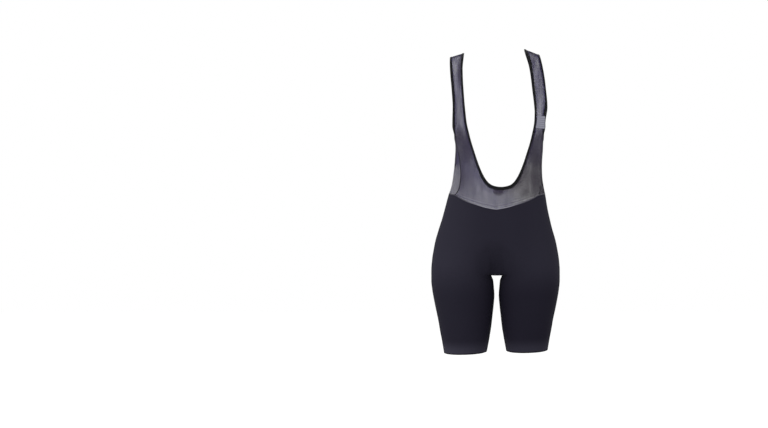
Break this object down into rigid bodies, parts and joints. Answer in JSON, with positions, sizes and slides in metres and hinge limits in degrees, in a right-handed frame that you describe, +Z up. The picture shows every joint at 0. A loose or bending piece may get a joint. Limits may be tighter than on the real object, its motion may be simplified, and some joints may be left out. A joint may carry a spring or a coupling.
{
  "type": "cycling bib shorts",
  "caption": "Worn, hollow cycling bib shorts: close stretch-knit shorts to above the knee, under a sheer mesh bib with a deep U neckline and wide shoulder straps.",
  "frame": {"origin": "between the wearer's shoulders, at the mean height of the tops of the two straps", "axes": "+Z up, the garment's front faces -Y, +X to the viewer's right from the front"},
  "size_m": [0.346, 0.2204, 0.8198],
  "materials": {
    "knit": "black stretch knit, smooth with a faint sheen",
    "mesh": "dark grey sheer knitted mesh",
    "binding": "black elastic binding",
    "band": "grey band with fine lines across"
  },
  "bodies": {
    "root": {"shorts_front": "knit", "shorts_back_left": "knit", "shorts_back_right": "knit", "gusset": "knit", "bib_front": "mesh", "bib_back": "mesh", "neck_binding": "binding", "armhole_binding_left": "binding", "armhole_binding_right": "binding", "strap_band": "band"}
  },
  "joints": []
}
